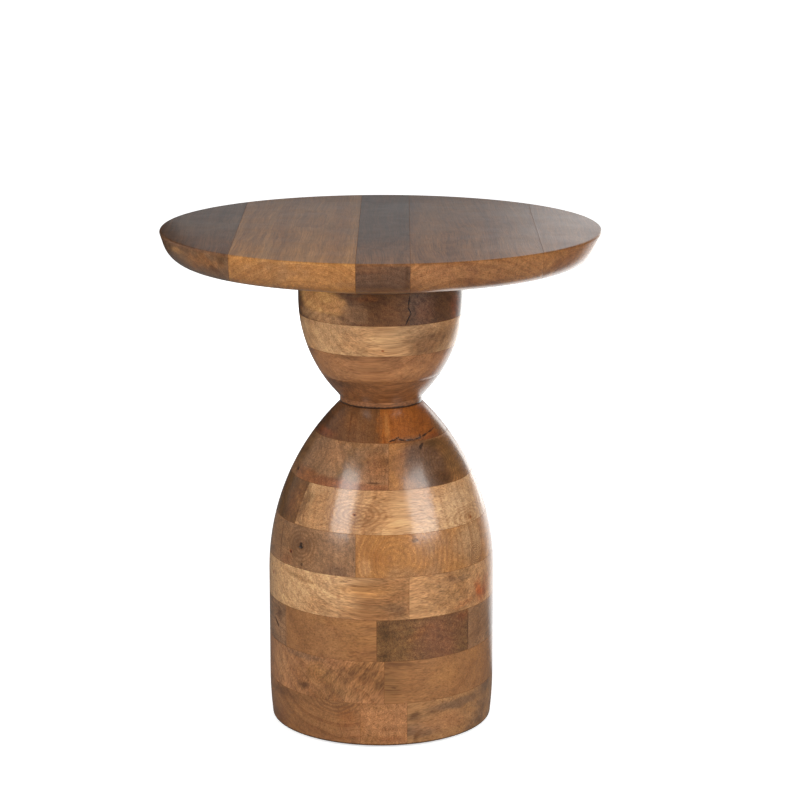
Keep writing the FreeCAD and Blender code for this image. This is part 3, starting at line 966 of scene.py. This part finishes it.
# Tones that darken the wood beneath by multiplying it
LATE_WOOD = (0.62, 0.5, 0.42, 1)
DARK_DASH = (0.5, 0.38, 0.3, 1)
DARK_PORE = (0.5, 0.4, 0.33, 1)

# How much of the figure, the streaks and the fibres lies over a board's tone
GRAIN_SHARES = (0.22, 0.32, 0.5)

# How far each board starts along the log from the one before, and how the log's fibres wander, in metres
LOG_STEP = 0.37
LOG_WAVE = 0.07
LOG_REACH = 0.008

# The values between which most of a noise lies
SPAN = (0.3, 0.7)

# The shortest wave in the edge of a mark, and the wave in a line right round a form
LEAST_WAVE = 1.5 * MM
BAND_WAVE = 4 * MM


def add_node(tree, kind, sockets=None, **settings):
    """Adds a node; a socket given another node's output is joined to it, else it takes the value."""
    made = tree.nodes.new(kind)
    for name, value in settings.items():
        setattr(made, name, value)
    for name, value in (sockets or {}).items():
        if isinstance(value, bpy.types.NodeSocket):
            tree.links.new(value, made.inputs[name])
        else:
            made.inputs[name].default_value = value
    return made


def maths(tree, operation, *values):
    sockets = dict(enumerate(values))
    return add_node(tree, "ShaderNodeMath", sockets, operation=operation).outputs["Value"]


def vectors(tree, operation, *values, output="Vector"):
    sockets = dict(enumerate(values))
    return add_node(tree, "ShaderNodeVectorMath", sockets, operation=operation).outputs[output]


def mixed(tree, share, first, second, blend_type="MIX"):
    """Two colours mixed; the sockets are the colour ones of the Mix node."""
    sockets = {0: share, 6: first, 7: second}
    return add_node(tree, "ShaderNodeMix", sockets, data_type="RGBA", blend_type=blend_type).outputs[2]


def eased(tree, value, start, end, to_start=0, to_end=1):
    """A smooth step from one value at the start to another at the end."""
    sockets = {"Value": value, "From Min": start, "From Max": end, "To Min": to_start, "To Max": to_end}
    made = add_node(tree, "ShaderNodeMapRange", sockets, interpolation_type="SMOOTHSTEP")
    return made.outputs["Result"]


def noise(tree, place, scale, detail=2, roughness=0.5, output="Fac"):
    sockets = {"Vector": place, "Scale": scale, "Detail": detail, "Roughness": roughness}
    return add_node(tree, "ShaderNodeTexNoise", sockets).outputs[output]


def stretched_noise(tree, place, waves, detail=3, roughness=0.6):
    """Noise with its own number of waves to the metre along each axis."""
    return noise(tree, vectors(tree, "MULTIPLY", place, waves), 1, detail, roughness)


def wandering(tree, place, size, reach):
    """A place pushed about by up to a reach, in waves of a size."""
    push = noise(tree, place, 1 / size, 2, 0.6, "Color")
    centred = vectors(tree, "SUBTRACT", push, (0.5, 0.5, 0.5))
    pushed = vectors(tree, "MULTIPLY", centred, (2 * reach, 2 * reach, 2 * reach))
    return vectors(tree, "ADD", place, pushed)


def bumped(tree, height, strength, depth, invert=False):
    """A surface raised by a height, or sunk by it, up to a depth in millimetres."""
    sockets = {"Strength": strength, "Distance": depth * MM, "Height": height}
    return add_node(tree, "ShaderNodeBump", sockets, invert=invert).outputs["Normal"]


def cover(tree, surface):
    """Gives a material one plain surface."""
    shader = add_node(tree, "ShaderNodeBsdfPrincipled", surface).outputs["BSDF"]
    add_node(tree, "ShaderNodeOutputMaterial", {"Surface": shader})


def centre_of(mark):
    """The point of a turned form where a mark has its centre."""
    height, turn = mark.height * MM, math.radians(mark.turn)
    form_radius = base_radius if height < NECK_LEVEL else cup_radius
    radius = TOP_RADIUS if height > TOP_LEVEL else form_radius(height)
    return Vector((radius * math.sin(turn), -radius * math.cos(turn), height))


def oval_place(tree, place, mark, edge):
    """A place as seen from a mark's centre, in shares of its half sizes: its edge is at a length of 1.

    edge is how that edge wanders: the size of its waves and their reach.
    """
    half_sizes = (mark.wide * MM / 2, max(mark.wide, mark.high) * MM / 2, mark.high * MM / 2)
    sockets = {
        "Vector": wandering(tree, place, *edge),
        "Location": centre_of(mark),
        "Rotation": (0, math.radians(mark.lean), math.radians(mark.turn)),
        "Scale": half_sizes,
    }
    return add_node(tree, "ShaderNodeMapping", sockets, vector_type="TEXTURE").outputs["Vector"]


def mark_share(tree, place, mark):
    """How much of a stain or a knot shows at a place."""
    small = min(mark.wide, mark.high) * MM
    across = oval_place(tree, place, mark, (max(small, LEAST_WAVE), mark.rough * small))
    length = vectors(tree, "LENGTH", across, output="Value")
    inner, outer = 1 - mark.soft, 1 + mark.soft * 0.6
    return eased(tree, length, inner, outer, mark.strength, 0)


def painted_shade_share(tree, place, band):
    """How much of a painted shade line round a form shows at a place."""
    strayed = wandering(tree, place, BAND_WAVE, band.rough * band.high * MM)
    height = add_node(tree, "ShaderNodeSeparateXYZ", {"Vector": strayed}).outputs["Z"]
    away = maths(tree, "ABSOLUTE", maths(tree, "SUBTRACT", height, band.height * MM))
    return eased(tree, away, band.high * MM * 0.3, band.high * MM * 0.7, band.strength, 0)


def swirled(tree, place, colour, swirl):
    """Lays fine rings round a knot over a colour."""
    edge = min(swirl.wide, swirl.high) * MM
    across = oval_place(tree, place, swirl, (edge / 2, edge / 14))
    length = vectors(tree, "LENGTH", across, output="Value")
    wave = maths(tree, "PINGPONG", maths(tree, "MULTIPLY", length, swirl.lines), 0.5)
    line = eased(tree, wave, 0.05, 0.4, 1, 0)
    fade = eased(tree, length, 0.45, 1, swirl.strength, 0)
    return mixed(tree, maths(tree, "MULTIPLY", line, fade), colour, tone(swirl.tone))


def wood_material(node, cut):
    """Lacquered wood of one board, grown as a log in space, so that its figure runs through every face."""
    material, tree, place = bare_material(node + "_wood")
    log = log_place(tree, place, node, cut)
    colour = clouded(tree, log, cut)
    for stain in kinds(cut, Stain):
        colour = mixed(tree, mark_share(tree, place, stain), colour, tone(stain.tone))
    colour = ringed(tree, log, colour, cut)
    colour, streak, fibre, pore = grained(tree, log, colour, cut)

    # Rings round knots, painted shade lines at the foot and the neck, and the knots, cracks and bark lines
    # themselves
    for swirl in kinds(cut, Swirl):
        colour = swirled(tree, place, colour, swirl)
    for band in kinds(cut, PaintedShadeLine):
        colour = mixed(tree, painted_shade_share(tree, place, band), colour, tone(band.tone))
    sunk = maths(tree, "MULTIPLY", pore, 0.6)
    for knot in kinds(cut, Knot):
        share = mark_share(tree, place, knot)
        colour = mixed(tree, share, colour, tone(knot.tone))
        sunk = maths(tree, "MAXIMUM", sunk, share)

    # Lacquer that fills the pores but for a trace, with the sheen of handling
    sheen = eased(tree, noise(tree, place, 22, 3, 0.6), *SPAN, 0.3, 0.4)
    roughness = maths(tree, "ADD", sheen, maths(tree, "MULTIPLY", pore, 0.08))
    ripple = maths(tree, "MULTIPLY", streak, cut.ripple)
    hollow = maths(tree, "ADD", maths(tree, "MULTIPLY_ADD", fibre, 0.5, ripple), sunk)
    relief = bumped(tree, hollow, 0.6, 0.3, invert=True)
    skin = bumped(tree, ripple, 0.3, 0.1, invert=True)
    finish = {
        "Base Color": colour,
        "Roughness": roughness,
        "Normal": relief,
        "Specular IOR Level": 0.3,
        "Coat Weight": 0.75,
        "Coat Roughness": 0.17,
        "Coat Normal": skin,
    }
    cover(tree, finish)
    return material


def log_place(tree, place, node, cut):
    """A board's place in its log, where the fibres run along x and the heart is at the middle."""
    lowest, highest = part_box(node)
    sockets = {
        "Vector": place,
        "Location": (lowest + highest) / 2 + Vector(cut.pith) * MM,
        "Rotation": (0, -math.radians(cut.rise), math.radians(cut.run)),
    }
    straight = add_node(tree, "ShaderNodeMapping", sockets, vector_type="TEXTURE").outputs["Vector"]
    own_start = (LOG_STEP * (list(CUTS).index(node) + 1), 0, 0)
    straight = vectors(tree, "ADD", straight, own_start)
    return wandering(tree, vectors(tree, "MULTIPLY", straight, DRAWN_OUT), LOG_WAVE, LOG_REACH)


def clouded(tree, log, cut):
    """A board's two tones in slow clouds. More balance gives more of the dark tone."""
    scale = 1 / (cut.cloud * MM)
    cloud = noise(tree, vectors(tree, "MULTIPLY", log, (0.8, 1, 1)), scale, 3, 0.6)
    lag = 0.3 * (1 - cut.balance)
    shift = eased(tree, cloud, 0.35 + lag, 0.5 + lag)
    return mixed(tree, shift, tone(cut.light), tone(cut.dark))


def ringed(tree, log, colour, cut):
    """Growth rings about the pith: uneven bands, with a thin dark line at the end of each year."""
    from_pith = vectors(tree, "LENGTH", vectors(tree, "MULTIPLY", log, (0, 1, 1)), output="Value")
    years = maths(tree, "DIVIDE", from_pith, cut.ring * MM)
    grown = eased(tree, from_pith, 0.004, 0.02, 0.15, cut.rings)
    bands = {"W": years, "Scale": 0.9, "Detail": 3, "Roughness": 0.65}
    band = add_node(tree, "ShaderNodeTexNoise", bands, noise_dimensions="1D").outputs["Fac"]
    dark_band = maths(tree, "MULTIPLY", eased(tree, band, 0.4, 0.75), grown)
    year_end = maths(tree, "POWER", maths(tree, "FRACT", years), 6)
    year_line = maths(tree, "MULTIPLY", year_end, grown)
    for share in (dark_band, year_line):
        colour = mixed(tree, share, colour, LATE_WOOD, "MULTIPLY")
    return colour


def grained(tree, log, colour, cut):
    """Figure, streaks, fibres, short dark dashes and pores, all stretched along the log."""
    figure = stretched_noise(tree, log, FIGURE)
    streak = stretched_noise(tree, log, STREAK)
    fibre = stretched_noise(tree, log, FIBRE)
    dash = stretched_noise(tree, log, DASH, detail=2, roughness=0.5)
    for pattern, share in zip((figure, streak, fibre), GRAIN_SHARES):
        contrast = eased(tree, pattern, 0.25, 0.75)
        colour = mixed(tree, cut.fleck * share, colour, contrast, "OVERLAY")
    dark_dash = eased(tree, dash, 0.54, 0.7, 0, cut.pores * 0.9)
    colour = mixed(tree, dark_dash, colour, DARK_DASH, "MULTIPLY")
    cell = {"Vector": vectors(tree, "MULTIPLY", log, PORE), "Scale": 1}
    pore_gap = add_node(tree, "ShaderNodeTexVoronoi", cell).outputs["Distance"]
    pore = eased(tree, pore_gap, 0.1, 0.4, cut.pores, 0)
    colour = mixed(tree, maths(tree, "MULTIPLY", pore, 0.4), colour, DARK_PORE, "MULTIPLY")
    return colour, streak, fibre, pore


def kinds(cut, kind):
    """A board's marks of one kind."""
    return [mark for mark in cut.marks if isinstance(mark, kind)]


def bare_material(name):
    """A new material with its tree emptied and the object's own coordinates."""
    material = bpy.data.materials.new(name)
    material.use_nodes = True
    tree = material.node_tree
    tree.nodes.clear()
    return material, tree, add_node(tree, "ShaderNodeTexCoord").outputs["Object"]


def glue_material():
    """Dark line of a glue joint, broken where the lacquer fills it."""
    name = "glue_line"
    if name in bpy.data.materials:
        return bpy.data.materials[name]
    material, tree, place = bare_material(name)
    gaps = eased(tree, noise(tree, place, 90, 4, 0.7), 0.42, 0.6)
    colour = mixed(tree, gaps, tone("glue"), tone("russet"))
    roughness = eased(tree, noise(tree, place, 500), *SPAN, 0.6, 0.8)
    cover(tree, {"Base Color": colour, "Roughness": roughness, "Specular IOR Level": 0.1})
    return material


def tenon_material():
    """Plain planed hardwood, with fine upright fibres and no finish."""
    material, tree, place = bare_material("tenon_beech")
    fibre = stretched_noise(tree, place, TENON_FIBRE, detail=4)
    fleck = stretched_noise(tree, place, TENON_FLECK, detail=2, roughness=0.5)
    colour = mixed(tree, 0.4, tone("beech"), eased(tree, fibre, *SPAN), "OVERLAY")
    colour = mixed(tree, eased(tree, fleck, 0.6, 0.72, 0, 0.5), colour, tone("tan"))
    relief = bumped(tree, fibre, 0.4, 0.1)
    roughness = eased(tree, fibre, *SPAN, 0.6, 0.75)
    cover(tree, {"Base Color": colour, "Roughness": roughness, "Normal": relief})
    return material


def felt_material():
    """Pressed wool felt: matted fibres of two tones."""
    material, tree, place = bare_material("pad_felt")
    matted = noise(tree, wandering(tree, place, 2 * MM, 1.5 * MM), 900, 5, 0.75)
    tuft = noise(tree, place, 260, 3, 0.6)
    colour = mixed(tree, eased(tree, matted, 0.35, 0.65), tone("felt"), tone("ash"))
    colour = mixed(tree, eased(tree, tuft, 0.4, 0.6, 0, 0.45), colour, tone("cocoa"))
    relief = bumped(tree, matted, 0.8, 0.4)
    surface = {
        "Base Color": colour,
        "Roughness": eased(tree, tuft, *SPAN, 0.85, 0.98),
        "Normal": relief,
        "Sheen Weight": 0.3,
        "Sheen Roughness": 0.5,
    }
    cover(tree, surface)
    return material


# Operators


class ACCENT_TABLE_OT_base_boards(bpy.types.Operator):
    """Turn the base course by course and saw each course into its boards"""

    bl_idname = "accent_table.base_boards"
    bl_label = "Base boards"

    def execute(self, context):
        for boards in BASE_COURSES:
            levels = levels_of(boards)
            rings = course_rings(base_radius, levels, BASE_FOOT, sizes().foot_round)
            tenons = ["neck_tenon"] if boards is BASE_COURSES[-1] else []
            make_boards(turn_blank("base_blank", rings), boards, levels, tenons)
        return {"FINISHED"}


class ACCENT_TABLE_OT_cup_boards(bpy.types.Operator):
    """Turn the cup course by course and saw its rim into two boards"""

    bl_idname = "accent_table.cup_boards"
    bl_label = "Cup boards"

    def execute(self, context):
        tenons = {0: ["neck_tenon"], len(CUP_COURSES) - 1: ["top_tenon"]}
        for number, boards in enumerate(CUP_COURSES):
            levels = levels_of(boards)
            rings = course_rings(cup_radius, levels, NECK_LEVEL, sizes().neck_round)
            blank = turn_blank("cup_blank", rings)
            make_boards(blank, boards, levels, tenons.get(number, []))
        return {"FINISHED"}


class ACCENT_TABLE_OT_top_planks(bpy.types.Operator):
    """Turn the round top and saw it into its planks"""

    bl_idname = "accent_table.top_planks"
    bl_label = "Top planks"

    def execute(self, context):
        blank = turn_blank("top_blank", top_rings())
        make_boards(blank, TOP_PLANKS, [TOP_LEVEL], ["top_tenon"])
        return {"FINISHED"}


class ACCENT_TABLE_OT_loose_tenons(bpy.types.Operator):
    """Shape the square loose tenons inside the neck and the rim"""

    bl_idname = "accent_table.loose_tenons"
    bl_label = "Loose tenons"

    def execute(self, context):
        material = tenon_material()
        for node in ("neck_tenon", "top_tenon"):
            tenon = make_tenon(node)
            tenon.data.materials.append(material)
            carry(tenon, node)
        return {"FINISHED"}


# Glue groove down each side of a tenon, and its chamfered ends
GROOVE_INSET = 5 * MM
GROOVE_SLOPE = 0.5 * MM
GROOVE_DEPTH = 0.4 * MM
TENON_CHAMFER = 1.5 * MM


def make_tenon(node):
    """A square tenon with chamfered ends and a shallow glue groove down each side."""
    lowest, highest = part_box(node)

    def is_side(face):
        return abs(face.normal.z) < 0.5

    def is_at_end(edge):
        ends = [vertex.co.z for vertex in edge.verts]
        return min(ends) > highest.z - PLANE_GAP or max(ends) < lowest.z + PLANE_GAP

    tenon = block_between(lowest, highest)
    tenon.name = node + "_planed"
    settle()
    bpy.ops.object.mode_set(mode="EDIT")
    select_where(tenon, "FACE", is_side)
    bpy.ops.mesh.inset(thickness=GROOVE_INSET, depth=0, use_individual=True)
    bpy.ops.mesh.inset(thickness=GROOVE_SLOPE, depth=-GROOVE_DEPTH, use_individual=True)
    select_where(tenon, "EDGE", is_at_end)
    bpy.ops.mesh.bevel(offset=TENON_CHAMFER, segments=2, affect="EDGES")
    bpy.ops.object.mode_set(mode="OBJECT")
    shade(tenon)
    return tenon


class ACCENT_TABLE_OT_felt_pads(bpy.types.Operator):
    """Cut the felt pads under the foot"""

    bl_idname = "accent_table.felt_pads"
    bl_label = "Felt pads"

    def execute(self, context):
        pads = make_pads("felt_pads")
        pads.data.materials.append(felt_material())
        carry(pads, "felt_pads")
        return {"FINISHED"}


def pad_places(node):
    """The middle of each pad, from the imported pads' own corners, one in each quarter."""
    corners = [vertex.co for vertex in frame["nodes"][node].data.vertices]
    places = []
    for side_x in (1, -1):
        for side_y in (1, -1):
            quarter = [co for co in corners if co.x * side_x > 0 and co.y * side_y > 0]
            places.append(sum(quarter, Vector()) / len(quarter))
    return places


# Rounding of a pad's four corners and of its rims, and how far it is turned to face the axis
PAD_CORNER = 2.5 * MM
PAD_EDGE = 0.6 * MM
PAD_TURN = math.radians(45)


def make_pads(node):
    """One soft-edged square pad, turned to face the axis, copied to each quarter and joined."""
    lowest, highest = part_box(node)
    places = pad_places(node)
    diagonal = 2 * (highest.x - places[0].x)
    half = diagonal / math.sqrt(2) / 2
    first = block_between(Vector((-half, -half, lowest.z)), Vector((half, half, highest.z)))
    first.name = "felt_pads_cut"
    settle()
    bpy.ops.object.mode_set(mode="EDIT")
    select_where(first, "EDGE", is_upright)
    bpy.ops.mesh.bevel(offset=PAD_CORNER, segments=5, affect="EDGES")
    select_where(first, "EDGE", ends_level_face)
    bpy.ops.mesh.bevel(offset=PAD_EDGE, segments=3, affect="EDGES")
    bpy.ops.mesh.select_all(action="SELECT")
    bpy.ops.transform.rotate(value=PAD_TURN, orient_axis="Z", center_override=(0, 0, 0))
    bpy.ops.object.mode_set(mode="OBJECT")
    copies = [copy_of(first, f"pad_{number}") for number in range(len(places) - 1)]
    for pad, place in zip([first, *copies], places):
        pad.location = (place.x, place.y, 0)
    alone(first)
    for pad in copies:
        pad.select_set(True)
    bpy.ops.object.join()
    settle()
    shade(first)
    return first


def is_upright(edge):
    start, end = edge.verts
    return (start.co.xy - end.co.xy).length < WELD_GAP


def ends_level_face(edge):
    """Whether an edge runs round the upper or the lower face."""
    return sum(abs(face.normal.z) > 0.9 for face in edge.link_faces) == 1


class ACCENT_TABLE_OT_stage(bpy.types.Operator):
    """Set up the pale floor, the soft lamps and the camera"""

    bl_idname = "accent_table.stage"
    bl_label = "Studio"

    def execute(self, context):
        context.scene.view_settings.view_transform = "Standard"
        lay_floor()
        light_world()
        for lamp in LAMPS:
            hang_lamp(lamp)
        hang_card()
        set_camera()
        return {"FINISHED"}


class Lamp(NamedTuple):
    """A soft lamp round the table. Angles are degrees from the front to the right and above the level.

    Its light falls on everything, on all but the top, or on the top alone.
    """

    name: str
    turn: float
    rise: float
    distance: float
    width: float
    height: float
    glow: float
    in_gloss: bool = True
    falls_on: str = "all"


def softbox_pair(side, *place_and_size):
    """A softbox that spares the top, and a matt light in its place for the top alone."""
    return [
        Lamp(side + "_softbox", *place_and_size, falls_on="all_but_top"),
        Lamp(side + "_matt_light", *place_and_size, in_gloss=False, falls_on="top"),
    ]


LAMPS = [
    *softbox_pair("left", -44, 24, 1.7, 0.62, 0.95, 8.5),
    *softbox_pair("right", 49, 22, 1.7, 0.85, 0.95, 7),
    Lamp("rim_strip", 154, -2, 1.6, 0.3, 0.9, 1.7),
    Lamp("back_fill", 172, 14, 2.4, 1.2, 1.2, 4, in_gloss=False),
]
LAMP_TINT = (1, 0.985, 0.95)
AIM = Vector((0, 0, 0.27))

# Lengths are metres, the card's turn and rise are degrees, and the lens and sensor are millimetres
FLOOR_WIDTH = 60
CARD_PLACE = (-150, 10, 1.6)
CARD_SIZE = (0.9, 1.6, 1)
CARD_TONE = (0.02, 0.02, 0.02, 1)
CAMERA_PLACE = (0.0194, -2.631, 0.931)
CAMERA_TILT = math.radians(77.23)
LENS = 118.7
SENSOR = 36
SIGHT = 100

# What counts as behind: how far back a place lies, and this share of how far right it lies
RIGHT_SHARE = -0.8


def around(turn, rise, distance):
    """A place round the table, from its turn, its rise and its distance."""
    turn, rise = math.radians(turn), math.radians(rise)
    level = distance * math.cos(rise)
    return AIM + Vector((level * math.sin(turn), -level * math.cos(turn), distance * math.sin(rise)))


def hang_lamp(lamp):
    place = around(lamp.turn, lamp.rise, lamp.distance)
    aim = (AIM - place).to_track_quat("-Z", "Y").to_euler()
    bpy.ops.object.light_add(type="AREA", location=place, rotation=aim)
    light = bpy.context.object
    light.name = lamp.name
    light.data.shape = "RECTANGLE"
    light.data.size, light.data.size_y = lamp.width, lamp.height
    light.data.energy = lamp.glow * math.pi * lamp.width * lamp.height
    light.data.color = LAMP_TINT
    light.visible_camera = False
    light.visible_glossy = lamp.in_gloss
    if lamp.falls_on != "all":
        light.light_linking.receiver_collection = lit_pieces(lamp.falls_on)


def lit_pieces(falls_on):
    """The pieces that a lamp falls on.

    The level top would mirror a softbox whole to a viewer behind the table.
    """
    if falls_on in bpy.data.collections:
        return bpy.data.collections[falls_on]
    lit = bpy.data.collections.new(falls_on)
    for node in TOP_PLANKS:
        lit.objects.link(bpy.data.objects[node + "_turned"])
    for member in lit.collection_objects:
        member.light_linking.link_state = "INCLUDE" if falls_on == "top" else "EXCLUDE"
    return lit


def hang_card():
    """A black card behind on the left, which the lacquer shows as a thin dark edge."""
    bpy.ops.object.select_all(action="DESELECT")
    bpy.ops.mesh.primitive_plane_add(size=1, location=around(*CARD_PLACE))
    card = bpy.context.object
    card.name = "black_card"
    card.scale = CARD_SIZE
    card.rotation_euler = (AIM - card.location).to_track_quat("Z", "Y").to_euler()
    card.visible_camera = card.visible_diffuse = card.visible_shadow = False
    material, tree, place = bare_material("black_card")
    cloth = eased(tree, noise(tree, place, 300), *SPAN, 0.8, 0.95)
    cover(tree, {"Base Color": CARD_TONE, "Roughness": cloth})
    card.data.materials.append(material)


def light_world():
    """A studio that the camera sees white.

    Matt wood sees it brightest in front, and gloss sees it pale behind on the right.
    """
    world = bpy.context.scene.world or bpy.data.worlds.new("studio")
    bpy.context.scene.world = world
    world.use_nodes = True
    tree = world.node_tree
    tree.nodes.clear()
    paths = add_node(tree, "ShaderNodeLightPath").outputs
    direction = add_node(tree, "ShaderNodeTexCoord").outputs["Generated"]
    split = add_node(tree, "ShaderNodeSeparateXYZ", {"Vector": direction})
    rightwards, backwards, upwards = split.outputs
    depth = maths(tree, "MULTIPLY_ADD", rightwards, RIGHT_SHARE, backwards)
    behind = eased(tree, depth, 0.2, 0.7, 0.05, 1)
    on_right = eased(tree, rightwards, 0.035, 0.1, 0.22, 0.75)
    in_gloss = maths(tree, "MULTIPLY", behind, on_right)
    in_front = eased(tree, backwards, -0.9, 0.6, 0.58, 0.2)
    not_above = eased(tree, upwards, 0.2, 0.9, 1, 0.42)
    on_matt = maths(tree, "MULTIPLY", in_front, not_above)
    glow = mixed(tree, paths["Is Glossy Ray"], on_matt, in_gloss)
    glow = maths(tree, "MAXIMUM", glow, paths["Is Camera Ray"])
    light = add_node(tree, "ShaderNodeBackground", {"Color": WHITE, "Strength": glow})
    add_node(tree, "ShaderNodeOutputWorld", {"Surface": light.outputs["Background"]})


def lay_floor():
    """A wide pale floor that keeps the table's shadow. Gloss sees it white only behind on the right."""
    bpy.ops.object.select_all(action="DESELECT")
    bpy.ops.mesh.primitive_plane_add(size=FLOOR_WIDTH, location=(0, 0, 0))
    floor = bpy.context.object
    floor.name = "studio_floor"
    material, tree, place = bare_material("studio_floor")
    haze = eased(tree, noise(tree, place, 3), *SPAN, 0.55, 0.65)
    paths = add_node(tree, "ShaderNodeLightPath").outputs
    outwards = vectors(tree, "NORMALIZE", place)
    split = add_node(tree, "ShaderNodeSeparateXYZ", {"Vector": outwards})
    rightwards, backwards, _ = split.outputs
    depth = maths(tree, "MULTIPLY_ADD", rightwards, RIGHT_SHARE, backwards)
    behind = eased(tree, depth, -0.1, 0.4)
    white_part = maths(tree, "MULTIPLY", behind, eased(tree, rightwards, 0.05, 0.25))
    in_gloss = mixed(tree, white_part, (0.2, 0.2, 0.2, 1), (0.9, 0.9, 0.9, 1))
    paint = mixed(tree, paths["Is Glossy Ray"], tone("floor"), in_gloss)
    surface = {"Base Color": paint, "Roughness": haze, "Specular IOR Level": 0.1}
    painted = add_node(tree, "ShaderNodeBsdfPrincipled", surface).outputs["BSDF"]
    white_lift = maths(tree, "MULTIPLY", white_part, 0.8)
    gloss_lift = maths(tree, "MULTIPLY", white_lift, paths["Is Glossy Ray"])
    far_off = eased(tree, vectors(tree, "LENGTH", place, output="Value"), 0.4, 2.5, 0.68, 1)
    lift = maths(tree, "MULTIPLY_ADD", paths["Is Camera Ray"], far_off, gloss_lift)
    glow = add_node(tree, "ShaderNodeEmission", {"Color": WHITE, "Strength": lift})
    both = add_node(tree, "ShaderNodeAddShader", {0: painted, 1: glow.outputs[0]}).outputs["Shader"]
    add_node(tree, "ShaderNodeOutputMaterial", {"Surface": both})
    floor.data.materials.append(material)


def set_camera():
    """A long lens a little above the top, at the product picture's place."""
    bpy.ops.object.camera_add(location=CAMERA_PLACE, rotation=(CAMERA_TILT, 0, 0))
    camera = bpy.context.object
    camera.data.sensor_width = SENSOR
    camera.data.lens = LENS
    camera.data.clip_end = SIGHT
    bpy.context.scene.camera = camera


# Panel and registration

OPERATORS = [
    ACCENT_TABLE_OT_base_boards,
    ACCENT_TABLE_OT_cup_boards,
    ACCENT_TABLE_OT_top_planks,
    ACCENT_TABLE_OT_loose_tenons,
    ACCENT_TABLE_OT_felt_pads,
    ACCENT_TABLE_OT_stage,
]


class VIEW3D_PT_accent_table(bpy.types.Panel):
    """Steps, sizes and tones of the accent table"""

    bl_label = "Accent table"
    bl_idname = "VIEW3D_PT_accent_table"
    bl_space_type = "VIEW_3D"
    bl_region_type = "UI"
    bl_category = "Accent table"

    def draw(self, context):
        layout = self.layout
        for operator in OPERATORS:
            layout.operator(operator.bl_idname)
        for group in (context.scene.accent_table_sizes, context.scene.accent_table_tones):
            column = layout.column()
            for name in group.bl_rna.properties.keys():
                if name not in ("rna_type", "name"):
                    column.prop(group, name)


CLASSES = [TableSizes, TableTones, *OPERATORS, VIEW3D_PT_accent_table]


def register():
    for item in CLASSES:
        bpy.utils.register_class(item)
    bpy.types.Scene.accent_table_sizes = PointerProperty(type=TableSizes)
    bpy.types.Scene.accent_table_tones = PointerProperty(type=TableTones)


def unregister():
    del bpy.types.Scene.accent_table_tones
    del bpy.types.Scene.accent_table_sizes
    for item in reversed(CLASSES):
        bpy.utils.unregister_class(item)


def main():
    register()
    bpy.ops.accent_table.base_boards()
    bpy.ops.accent_table.cup_boards()
    bpy.ops.accent_table.top_planks()
    bpy.ops.accent_table.loose_tenons()
    bpy.ops.accent_table.felt_pads()
    bpy.ops.accent_table.stage()


if __name__ == "__main__":
    main()
